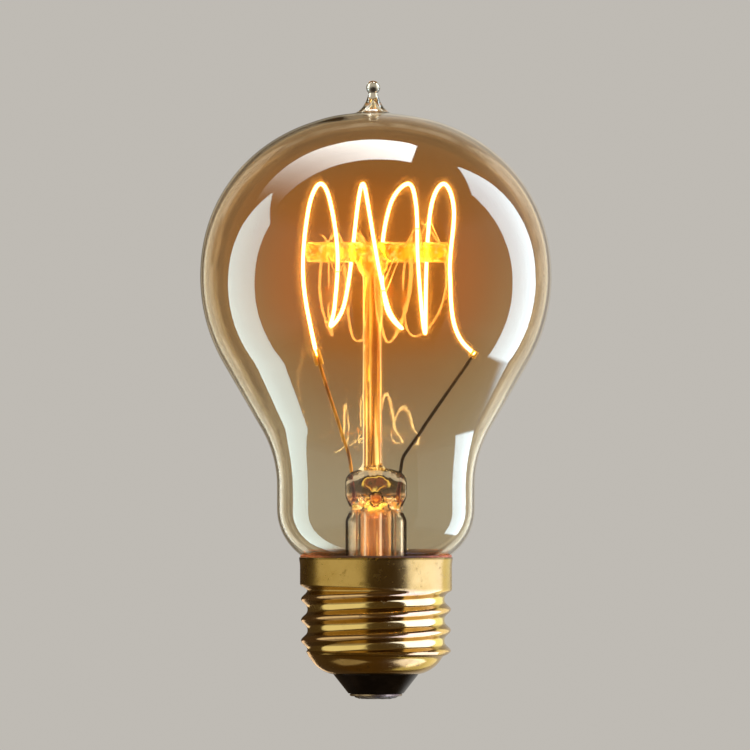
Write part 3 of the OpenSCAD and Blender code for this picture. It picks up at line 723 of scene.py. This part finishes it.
def stemMaterial():
    made, shader, here = newMaterial("stemGlass", {
        "Roughness": 0.03, "IOR": 1.5, "Transmission Weight": 1, "Emission Strength": 1,
        "Coat Roughness": 0.2,
    })
    s = stem
    x, y, z = here.axes()
    facing = facingOf(here)
    waist, press = waistZ * mm, pressZ * mm
    pressFoot = (waist + 0.002, waist + 0.0032)
    inWaist = z.between((waist - 0.0012, waist - 0.0002), pressFoot)
    inPress = z.step(*pressFoot)
    swirl = cloud(here, 900, 3, 0.6, (1, 1, 0.7))
    streaks = cloud(here, 800, 2, 0.6, (1, 1, 0.05))
    warp = [cloud(here, scale, 2, 0.6) * s["warp"] - s["warp"] / 2 for scale in (420, 560)]
    across, up = x + warp[0], z + warp[1] - press
    radius = length(x, y)
    inCore = 1 - radius.step(*s["coreR"])
    # tints: the tube's amber and the waist's orange are the strand's glow painted in, the press's dark brown
    # is painted shade, and the outline is painted dark
    coreGlowTint = blendColour(streaks.step(0.42, 0.5), (0.4, 0.17, 0.07), (0.8, 0.5, 0.3))
    pressShade = blendColour(swirl.step(0.4, 0.65), (0.22, 0.165, 0.105), (0.1, 0.055, 0.03))
    feed(shader, "Base Color", layered(
        (0.95, 0.88, 0.78), (inCore, coreGlowTint), (inPress, pressShade),
        (inWaist * swirl.step(0.4, 0.6), (0.5, 0.2, 0.07)), (facing.step(0.42, 0.7), (0.02, 0.012, 0.008)),
    ))

    # tube: painted amber glow in streaks, with two painted highlight lines
    left, right = (x.band(place, s["lineHalf"]) for place in s["highlightLineX"])
    coreGlow = layered(
        (0, 0, 0), (streaks.step(0.44, 0.54), (0.12, 0.04, 0.008)),
        (streaks.step(0.6, 0.64), (0.7, 0.4, 0.12)),
        ((left + right) * radius.step(0.0026, 0.0028), (0.9, 0.84, 0.75)),
    )
    amber = inCore * (1 - z.step(waist - 0.001, waist + 0.0005))
    # waist: painted glow of the strand's light in the melted folds, and a painted glowing ball with a painted
    # bright smile under it
    away = length(across, up + s["ballDrop"])
    smile = away.band(s["smileR"], 0.0002) * (1 - up.step(-0.0064, -0.0058))
    ball = blendColour(swirl.step(0.4, 0.6), (0.62, 0.16, 0.02), (0.3, 0.05, 0.01))
    waistGlow = layered(
        (0, 0, 0), (swirl.step(0.5, 0.6), (0.8, 0.32, 0.04)), (swirl.step(0.64, 0.7), (1.1, 0.85, 0.5)),
        (smile, (1.2, 0.78, 0.1)), (1 - away.step(0.00085, 0.00105), ball),
    )
    # press: painted glow in a mushroom of gold, its arch over painted embers and its stalk over a glowing
    # knot, and a painted highlight along the dome's brow
    ring = length(across / s["archHalf"][0], (up + s["archDrop"]) / s["archHalf"][1])
    low = 1 - up.step(-0.0036, -0.0028)
    stalk = (abs(across) + (up + s["stalkDrop"]) * -1.2).band(0.0021, s["lineHalf"])
    knot = 1 - length(across, up + s["knotDrop"]).step(0.0004, 0.0008)
    domeHighlight = (up + x * x * s["domeHighlightBend"]).band(-s["domeHighlightDrop"], 0.00022)
    lit = layered(
        (0, 0, 0), (domeHighlight, (0.46, 0.42, 0.33)),
        ((1 - ring.step(0.8, 1)) * swirl.step(0.42, 0.55), (0.14, 0.025, 0.006)),
        (ring.band(1, 0.055) * (1 - low), (0.95, 0.62, 0.1)),
        (stalk * low * up.step(-0.0048, -0.0044), (0.8, 0.4, 0.05)),
        (knot * swirl.step(0.4, 0.5), (1, 0.72, 0.16)),
    )
    feed(shader, "Emission Color", layered((0, 0, 0), (amber, coreGlow), (inWaist, waistGlow), (inPress, lit)))
    feed(shader, "Coat Weight", facing.step(0.6, 0.85, 1, 0))
    feedBump(shader, 0.3, 0.0003, cloud(here, 260, 2, 0.5, (1, 1, 0.35)))
    # painted shade: the glass darkens along its outlines, and round the painted ball and arch
    skin = 1 - radius.between(*s["wallR"]) * (1 - inPress)
    outline = away.band(0.00118, 0.00009) * 0.9 + ring.band(1.16, 0.05) * (1 - low) * 0.7
    edge = facing.step(0.48, 0.62) * skin + outline
    letLampsThrough(shader, here, (0.95, 0.88, 0.78), 0, edge.math("MINIMUM", edge, 1))
    return made


def litGlassMaterial():
    made, shader, here = newMaterial("litGlass", {
        "Roughness": 0.04, "IOR": 1.5, "Transmission Weight": 0.94, "Emission Strength": 1,
        "Coat Weight": 1, "Coat Roughness": 0.2,
    })
    r = rod
    x, _, height = here.axes()
    spots = cloud(here, 520, 5, 0.7)
    cracks = cloud(here, 1100, 3, 0.6)
    streaks = cloud(here, 1300, 2, 0.6, (1, 1, 0.03))
    patch = cloud(here, 260, 1, 0.5, (1, 1, 0.6))
    bar = height.step(*r["barFrom"])
    boss = x.band(r["bossX"], r["bossHalf"]) * bar
    # the amber and yellow tints carry the strand's glow, painted into the glass's colour
    amber = blendColour(streaks.step(0.42, 0.6), (0.5, 0.2, 0.05), (1, 0.74, 0.3))
    yellow = blendColour(spots.step(0.46, 0.55), (1, 0.68, 0.1), (0.75, 0.24, 0.02))
    feed(shader, "Base Color", blendColour(bar, amber, yellow))
    # a painted reflection of the strand runs down the rod
    strandReflection = x.band(r["reflectionX"], r["reflectionHalf"]) * (1 - height.step(*r["reflectionTop"]))
    strandReflectionColour = blendColour(height.step(*r["reflectionChange"]), (0.05, 0.004, 0), (1.1, 0.95, 0.03))
    # painted glow of the rod, ending in a painted highlight line down its left side
    rodGlow = layered(
        (0.03, 0.005, 0), (streaks.step(0.44, 0.52), (0.42, 0.19, 0.01)),
        (streaks.step(0.56, 0.6), (1.1, 0.95, 0.4)), (patch.step(0.6, 0.68) * 0.7, (0.9, 0.62, 0.03)),
        (height.step(*r["upperFrom"]) * 0.25, (0.8, 0.45, 0.02)), (strandReflection, strandReflectionColour),
        (1 - x.step(*r["leftHighlight"]), (1.3, 1.2, 0.8)),
    )
    # painted glow of the bar, with painted bright lines, a painted bright outline and painted shade in the
    # boss
    barGlow = layered(
        (0.86, 0.76, 0.03), (spots.step(0.48, 0.56), (0.62, 0.27, 0.004)),
        (cracks.step(0.56, 0.61), (1.4, 1.35, 0.7)), (facingOf(here).step(0.45, 0.7), (1.1, 0.95, 0.3)),
        (boss * cracks.step(0.46, 0.4), (0.12, 0.02, 0)),
    )
    feed(shader, "Emission Color", blendColour(bar, rodGlow, barGlow))
    feedBump(shader, 0.5, 0.0003, spots)
    letLampsThrough(shader, here, (0.95, 0.75, 0.4))
    return made


makeEnvelope(envelopeMaterial())
makeStem(stemMaterial())
makeRod(litGlassMaterial())
print("glass made")


# Filament and wires, swept along their paths by geometry nodes

strand = {
    "diameter": 0.6, "loopDepth": 5, "loopRise": 12, "endDrop": 17.1, "endTurn": 145, "stepAngle": 3,
    "startX": -9.2, "footDrop": [12.9, 13.3, 14.15],
    # X of each loop at every 45 degrees of winding, from -135 behind the crossbar to 180 at its foot
    "loopX": [
        [-11, -12.8, -11.9, -9.7, -7.9, -6.7, -7.2, -7.9],
        [-5.6, -4.2, -3.2, -2.3, -1.4, 0.1, 2.1, 4.5],
        [1.8, 1, 2.5, 5.6, 7, 7.3, 8, 8.6],
        [8.7, 8.9, 9.7, 11.8, 13.6, 12.9, 14.8, 24.3],
    ],
}


def strandPath():
    s = strand
    rows = s["loopX"]
    route = [2 * s["startX"] - rows[0][0], s["startX"]] + [x for row in rows for x in row]
    route.append(2 * rows[-1][7] - rows[-1][6])
    reach = (s["loopRise"] + s["endDrop"]) / ((1 - math.cos(math.radians(s["endTurn"]))) / 2)
    heights = [reach] + [s["loopRise"] + d for d in s["footDrop"]] + [reach]
    last = 360 * (len(rows) - 1) + s["endTurn"]
    count = math.ceil((last + s["endTurn"]) / s["stepAngle"])
    points = []
    for i in range(count + 1):
        a = -s["endTurn"] + (last + s["endTurn"]) * i / count
        j = math.floor(a / 45) + 5
        u = a / 45 - math.floor(a / 45)
        p, q, r, t = route[j - 1:j + 3]
        x = (2 * q + (r - p) * u + (2 * p - 5 * q + 4 * r - t) * u * u + (3 * q - p - 3 * r + t) * u**3) / 2
        turn = math.radians(a)
        z = barZ + s["loopRise"] - heights[math.floor(a / 360) + 1] * (1 - math.cos(turn)) / 2
        points.append(Vector((x, -s["loopDepth"] * math.sin(turn), z)))
    first = points[0] + (points[0] - points[1]).normalized()
    final = points[-1] + (points[-1] - points[-2]).normalized()
    return [first] + points + [final]


def sweepTree():
    # sweeps a round section along a chain of edges
    tree, take = newTree("sweepWire", {
        "Path": "Geometry", "Radius": "Float", "Sides": "Int", "Step": "Float", "Finish": "Material",
    })
    start = take["Path"]
    path = start.node("GeometryNodeMeshToCurve", None, {0: start})
    path = start.node("GeometryNodeCurveSplineType", {"spline_type": "BEZIER"}, {"Curve": path})
    path = start.node("GeometryNodeCurveSetHandles", {"handle_type": "AUTO"}, {"Curve": path})
    spacing = {"Curve": path, "Length": take["Step"]}
    path = start.node("GeometryNodeResampleCurve", {"mode": "LENGTH"}, spacing)
    size = {"Resolution": take["Sides"], "Radius": take["Radius"]}
    ring = start.node("GeometryNodeCurvePrimitiveCircle", {"mode": "RADIUS"}, size)
    both = {"Curve": path, "Profile Curve": ring, "Fill Caps": True}
    return endTree(tree, start.node("GeometryNodeCurveToMesh", None, both), take["Finish"])


def useTree(made, tree, values):
    modifier = made.modifiers.new(tree.name, "NODES")
    modifier.node_group = tree
    for item in tree.interface.items_tree:
        if item.in_out == "INPUT" and item.name in values:
            modifier[item.identifier] = values[item.name]
    bake(made)


sweeper = sweepTree()


def makeWire(name, path, radius, material, replaced, sides=16, step=0.15):
    data = bpy.data.meshes.new(name)
    data.from_pydata([tuple(p) for p in path], [(i, i + 1) for i in range(len(path) - 1)], [])
    made = addObject(name, data)
    useTree(made, sweeper, {"Radius": radius, "Sides": sides, "Step": step, "Finish": material})
    weld(made, 1e-5)
    return finishPiece(made, material, replaced, 60)


def glowMaterial():
    made, shader, here = newMaterial("strandGlow", {
        "Base Color": (0.1, 0.06, 0.03, 1), "Roughness": 0.6, "Emission Strength": 1,
    })
    # in mirrors and through the glass the strand shows brighter than it lights the pieces around it
    fibre = cloud(here, 900, 2, 0.5, (1, 1, 0.3))
    plain = blendColour(fibre.step(0.3, 0.7), (17, 7.8, 3.4), (23, 10.5, 5))
    feed(shader, "Emission Color", blendColour(isRay(here, "Glossy"), plain, (100, 72, 30)))
    return made


def metalMaterial(name, colour, dark, roughness, scale=900, stretch=(1, 1, 1), relief=0.00003):
    # drawn or pressed metal with a stained surface
    made, shader, here = newMaterial(name, {"Metallic": 1.0})
    stain = cloud(here, scale, 4, 0.6, stretch)
    feed(shader, "Base Color", blendColour(stain.step(0.35, 0.65), colour, dark))
    feed(shader, "Roughness", stain.step(0.3, 0.7, roughness, roughness + 0.22))
    feedBump(shader, 0.4, relief, stain)
    return made


strandRoute = strandPath()
strandR = strand["diameter"] / 2
makeWire("filamentStrand", strandRoute, strandR, glowMaterial(), ["filament"], 14, 0.22)

leads = {
    "diameter": 0.6, "bend": 3.1, "bendR": 0.7, "gap": 0.5, "lowGap": 3.4, "topGap": 4.2,
    "sealLow": waistZ, "sealTop": pressZ - sealCover,
}


def sealPoint(side, z):
    slope = (leads["topGap"] - leads["lowGap"]) / (leads["sealTop"] - leads["sealLow"])
    return Vector((side * (leads["lowGap"] + slope * (z - leads["sealLow"])), 0, z))


def bent(path, reach):
    # rounds the inner corners of a path
    points = [path[0]]
    for p, q, r in zip(path, path[1:], path[2:]):
        a, b = q + reach * (p - q).normalized(), q + reach * (r - q).normalized()
        points += [(1 - u) ** 2 * a + 2 * u * (1 - u) * q + u * u * b for u in (0, 0.2, 0.4, 0.6, 0.8, 1)]
    return points + [path[-1]]


leadMetal = metalMaterial("leadMetal", (0.035, 0.022, 0.016), (0.012, 0.008, 0.007), 0.3, 500, (1, 1, 0.2))
# painted light: the left lead wears a lit copy of the dark lead metal, as if lit by the strand
litLeadMetal = metalMaterial("litLeadMetal", (0.85, 0.5, 0.1), (0.25, 0.1, 0.02), 0.4, 900, (1, 1, 0.1))
bendZ = pressZ + leads["bend"]
leadR = leads["diameter"] / 2
leftLead = [sealPoint(-1, leads["sealTop"]), sealPoint(-1, bendZ - 1),
            strandRoute[0] + leads["gap"] * Vector((1, -0.2, -3)).normalized()]
rightLead = [sealPoint(1, leads["sealTop"]), sealPoint(1, bendZ - 1.3),
             sealPoint(1, bendZ + 0.4) + Vector((0.9, 0, 0)),
             strandRoute[-1] + leads["gap"] * Vector((-2, 0.3, -3)).normalized()]
makeWire("leadLeft", bent(leftLead, leads["bendR"]), leadR, litLeadMetal, ["left_lead"])
makeWire("leadRight", bent(rightLead, leads["bendR"]), leadR, leadMetal, ["right_lead"])

clamps = {"wall": 0.22, "seam": 0.2, "bevel": 0.08}


def makeClamp(name, lead, end, width, depth, above, below, material, replaced):
    # a strip of metal folded round the lead and the strand, open along one seam
    along = (lead[-1] - lead[-2]).normalized()
    side = along.cross(Vector((0, 1, 0))).normalized()
    front = side.cross(along).normalized()
    w, d, t, g = width / 2, depth / 2, clamps["wall"], clamps["seam"] / 2
    outer = [(g, -d), (w * 0.8, -d), (w, -d * 0.6), (w, d * 0.6), (w * 0.8, d), (-w * 0.8, d),
             (-w, d * 0.6), (-w, -d * 0.6), (-w * 0.8, -d), (-g, -d)]
    inner = [(x * (w - t) / w if abs(x) > g else x, y * (d - t) / d) for x, y in reversed(outer)]
    loop = outer + inner
    n = len(loop)
    points = [end + along * h + side * x + front * y for h in (-below, above) for x, y in loop]
    faces = [[k, (k + 1) % n, n + (k + 1) % n, n + k] for k in range(n)]
    faces += [list(range(n))[::-1], list(range(n, 2 * n))]
    data = bpy.data.meshes.new(name)
    data.from_pydata([tuple(p) for p in points], [], faces)
    made = addObject(name, data)
    soften = made.modifiers.new("edge", "BEVEL")
    soften.width = clamps["bevel"]
    soften.segments = 2
    bake(made)
    weld(made, 1e-5)
    return finishPiece(made, material, replaced, 35)


# painted light: the clamps' bright golden yellow stands in for the strand's light on them
clampMetal = metalMaterial("clampMetal", (1, 0.8, 0.25), (0.8, 0.5, 0.1), 0.42, 600)
makeClamp("clampLeft", leftLead, strandRoute[0], 1.5, 1.3, 0.9, 1.7, clampMetal, ["left_clamp"])
makeClamp("clampRight", rightLead, strandRoute[-1], 1.2, 1.15, 0.5, 0.8, clampMetal, ["right_clamp"])
print("filament and wires made")


# Screw cap

cap = {
    "lipR": 7.4, "cupHeight": 3.95, "cupBulge": 0.9, "rootR": 12.0, "crestR": 13.12, "wall": 0.35,
    "sides": 256, "rows": 150, "rimRound": 0.08, "rimShares": [0.23, 0.77],
    # inputs of the nodes that roll the thread
    "thread": {
        "Pitch": 3.629, "Crest Height": 12.05, "Sharpness": 1.45, "Start": 7.2, "Start Fade": 0.2,
        "Bead": 8.15, "Bead Half": 0.45, "Bead Rise": 0.3, "Skirt Radius": 13.3, "Skirt Low": 19.2,
        "Skirt Tilt": -0.35, "Skirt Blend": 0.45, "Blend Tilt": -0.15, "Rim Flare": 0.15, "Flare Height": 1.6,
    },
    # where the brass's colour and its painted highlights and shade change, in metres
    "crestPaint": (0.01275, 0.0131), "crestTop": (0.0185, 0.0195),
    "flankPaint": ((0.0121, 0.0123), (0.0127, 0.0129)),
    "grooveR": (0.01205, 0.01225), "grooveFrom": (0.0082, 0.0086), "grooveTop": (0.0188, 0.0192),
    "skirtFrom": (0.0187, 0.0195), "rimShadeAndOxide": (0.00045, 0.0002),
}


def threadTree(names):
    # rolls the screw thread into a plain wall and widens it to the skirt, working round the Z axis
    tree, take = newTree("rolledThread", {"Shell": "Geometry", **dict.fromkeys(names, "Float")})
    start = take["Shell"]
    x, y, z = start.node("GeometryNodeInputPosition").axes()
    inside = start.node("GeometryNodeInputNamedAttribute", {"data_type": "FLOAT"}, {"Name": "inside"})
    radius = length(x, y)
    turn = start.math("ARCTAN2", y, x)
    phase = (z - take["Crest Height"]) * (2 * math.pi) / take["Pitch"] - turn
    ridge = ((start.math("COSINE", phase) + 1) / 2) ** take["Sharpness"]
    begun = z.step(take["Start"], take["Start"] + take["Pitch"] * take["Start Fade"])
    top, half = take["Bead"], take["Bead Half"]
    bead = z.between((top - half, top), (top, top + half))
    ridge = start.math("MAXIMUM", ridge * begun, bead * take["Bead Rise"] / take["Depth"])
    across = x / radius
    low = take["Skirt Low"] + take["Skirt Tilt"] * across
    blend = take["Skirt Blend"] + take["Blend Tilt"] * across
    skirt = z.step(low - blend, low + blend)
    threaded = radius + take["Depth"] * ridge
    flare = take["Rim Flare"] * z.step(take["Rim"] - take["Flare Height"], take["Rim"])
    plain = take["Skirt Radius"] - take["Wall"] * inside + flare
    grown = (threaded + (plain - threaded) * skirt) / radius
    moved = start.node("ShaderNodeCombineXYZ", None, {0: x * grown, 1: y * grown, 2: z})
    shell = start.node("GeometryNodeSetPosition", None, {"Geometry": start, "Position": moved})
    return endTree(tree, shell)


def makeShell(material):
    c = cap
    lipZ = boxMm("screw_shell")[0].z
    threadZ = lipZ + c["cupHeight"]
    rise, run = c["cupHeight"], c["rootR"] - c["lipR"]
    chord = math.hypot(rise, run)
    r = (chord**2 / 4 + c["cupBulge"] ** 2) / (2 * c["cupBulge"])
    middle = Vector(((c["lipR"] + c["rootR"]) / 2, (lipZ + threadZ) / 2))
    centre = middle - (r - c["cupBulge"]) * Vector((rise, -run)) / chord
    start = math.degrees(math.atan2(lipZ - centre.y, c["lipR"] - centre.x))
    span = 2 * math.degrees(math.asin(chord / 2 / r))

    def wallLine(inset):
        line = arc(centre.x, centre.y, r - inset, start, start + span, 14)
        heights = [threadZ + (rimZ - threadZ) * i / c["rows"] for i in range(1, c["rows"] + 1)]
        return line + [(c["rootR"] - inset, z) for z in heights]

    outer, inner = wallLine(0), wallLine(c["wall"])
    outer[-1] = (outer[-1][0], rimZ - c["rimRound"])
    rim = [(c["rootR"] - c["rimRound"], rimZ), (c["rootR"] - c["wall"] + c["rimRound"], rimZ)]
    made = lathe("rolledShell", outer + rim + inner[::-1] + outer[:1], c["sides"])
    # the outer wall's points are marked 0 and the inner wall's 1, with the rounded rim's between
    shares = [0.0] * len(outer) + c["rimShares"] + [1.0] * len(inner) + [0.0]
    mark = made.data.attributes.new("inside", "FLOAT", "POINT")
    mark.data.foreach_set("value", [share for share in shares for _ in range(c["sides"])])
    values = {"Depth": c["crestR"] - c["rootR"], "Wall": c["wall"], "Rim": rimZ, **c["thread"]}
    useTree(made, threadTree(values), values)
    weld(made)
    return finishPiece(made, material, ["screw_shell"], 45)


def brassMaterial():
    made, shader, here = newMaterial("capBrass", {"Metallic": 1.0})
    c = cap
    x, y, z = here.axes()
    radius = length(x, y)
    patina = cloud(here, 130, 5, 0.62)
    specks = cloud(here, 620, 4, 0.7)
    rolling = cloud(here, 260, 3, 0.55, (0.25, 0.25, 7))
    belowSkirt = 1 - z.step(*c["grooveTop"])
    # painted highlight: a peach line along the thread's crests
    crestHighlight = radius.step(*c["crestPaint"]) * (1 - z.step(*c["crestTop"]))
    # painted shade: darker brown bands on the thread's flanks
    flank = radius.between(*c["flankPaint"]) * belowSkirt
    # painted highlight: the grooves are painted a brighter gold
    grooveHighlight = (1 - radius.step(*c["grooveR"])) * z.step(*c["grooveFrom"]) * belowSkirt
    # a dark line under the rim: painted shade of its rounded edge, and oxide
    rimShadeAndOxide = z.step(*(rimZ * mm - drop for drop in c["rimShadeAndOxide"]))
    skirt = z.step(*c["skirtFrom"])
    feed(shader, "Base Color", layered(
        (0.8, 0.54, 0.17), (patina.step(0.38, 0.68), (0.6, 0.37, 0.09)),
        (specks.step(0.58, 0.72) * 0.75, (0.2, 0.11, 0.035)), (flank * 0.6, (0.38, 0.24, 0.05)),
        (grooveHighlight * 0.8, (0.98, 0.74, 0.24)), (rimShadeAndOxide, (0.05, 0.02, 0.008)), (crestHighlight * 0.5, (0.84, 0.54, 0.28)),
        (skirt * 0.6, (0.38, 0.24, 0.04)),
    ))
    rough = 0.1 + skirt * 0.1 + patina.step(0.35, 0.7) * 0.12
    feed(shader, "Roughness", rough + specks.step(0.55, 0.75) * 0.16)
    feedBump(shader, 0.35, 0.00005, rolling * 0.5 + specks * 0.5)
    return made


solder = {
    "line": [(0, 0.02), (1.2, 0), (2.4, 0.04), (3.2, 0.16), (3.7, 0.32), (3.85, 0.5), (3.5, 0.6),
             (0.82, 0.62), (0.78, 1.6), (0, 1.7)],
    "top": 0.62, "grain": 1.1, "swell": 0.07, "sag": 0.16, "sides": 72,
}


def makeSolder(material):
    # a rough drop of solder under the contact, kept above the lowest plane
    line, fine = solder["line"], []
    for (r1, z1), (r2, z2) in zip(line, line[1:]):
        fine += [(r1 + (r2 - r1) * i / 5, z1 + (z2 - z1) * i / 5) for i in range(5)]
    made = lathe("solderDrop", fine + [line[-1]], solder["sides"])
    for vertex in made.data.vertices:
        p = vertex.co
        if p.z < solder["top"]:
            lump = noise.fractal(p * solder["grain"] + Vector((4, 7, 1)), 0.6, 2.1, 4)
            p.xy *= 1 + solder["swell"] * lump
            p.z = max(0.0, p.z + solder["sag"] * lump)
    return finishPiece(made, material, ["contact_solder"], 60)


def blackGlassMaterial():
    made, shader, here = newMaterial("blackGlass", {"Specular IOR Level": 0.4})
    grain = cloud(here, 300, 4, 0.6)
    black = blendColour(grain.step(0.4, 0.7), (0.004, 0.003, 0.003), (0.014, 0.009, 0.007))
    feed(shader, "Base Color", black)
    feed(shader, "Roughness", grain.step(0.3, 0.75, 0.06, 0.2))
    feedBump(shader, 0.4, 0.0001, grain)
    return made


def cementMaterial():
    # dark in the skirt; the red at the sides of the thin line above it is painted light
    made, shader, here = newMaterial("firedCement", {"Specular IOR Level": 0.3})
    grain = cloud(here, 700, 4, 0.6)
    x, y, _ = here.axes()
    redGlow = abs(x).step(0.006, 0.0115) * (0.6 + cloud(here, 120, 2) * 0.8) * length(x, y).step(0.0126, 0.0128)
    red = blendColour(grain.step(0.35, 0.65), (0.66, 0.2, 0.06), (0.4, 0.11, 0.035))
    feed(shader, "Base Color", blendColour(redGlow, (0.11, 0.055, 0.028), red))
    feed(shader, "Roughness", grain.step(0.3, 0.7, 0.55, 0.85))
    feedBump(shader, 0.6, 0.0001, grain)
    return made


def dressNode(name, material):
    data = nodes[name].data
    data.materials.clear()
    data.materials.append(material)


makeShell(brassMaterial())
solderMetal = metalMaterial("solderMetal", (0.42, 0.38, 0.26), (0.14, 0.12, 0.08), 0.35, 500, relief=0.0001)
makeSolder(solderMetal)
dressNode("side_solder", solderMetal)
dressNode("base_insulator", blackGlassMaterial())
dressNode("centre_contact", metalMaterial("contactBrass", (0.5, 0.38, 0.2), (0.2, 0.14, 0.08), 0.35, 400))
dressNode("basing_cement", cementMaterial())
anchorMetal = metalMaterial("anchorMetal", (0.75, 0.6, 0.42), (0.4, 0.28, 0.18), 0.3)
for index in range(1, 5):
    dressNode(f"anchor_{index}", anchorMetal)
sealCopper = metalMaterial("sealCopper", (0.42, 0.07, 0.04), (0.2, 0.03, 0.02), 0.3)
for name in ("left_seal_wire", "right_seal_wire"):
    dressNode(name, sealCopper)
tailCopper = metalMaterial("tailCopper", (0.72, 0.36, 0.2), (0.4, 0.18, 0.1), 0.3)
for name in ("centre_tail_wire", "side_tail_wire"):
    dressNode(name, tailCopper)
print("cap made")

capPieces = [bpy.data.objects[name] for name in ("rolledShell", "solderDrop")]
capPieces += [nodes[name] for name in ("side_solder", "centre_contact", "basing_cement")]
stageNames = ("floor", "cardFront", "cardLeft", "cardBelow", "cardAbove")
globePieces = [bpy.data.objects["blownEnvelope"]]
innerPieces = [piece for piece in scene.objects if piece.type == "MESH" and piece.name not in stageNames
               and piece not in capPieces + globePieces and piece != nodes["base_insulator"]]
lightOnly(glassLamps + edgeLamps, globePieces, "globeInLight")
lightOnly(innerLamps, innerPieces, "insideInLight")
lightOnly(capLamps, capPieces, "capInLight")
lightOnly([bpy.data.objects["filamentStrand"]], globePieces + innerPieces, "strandInLight")
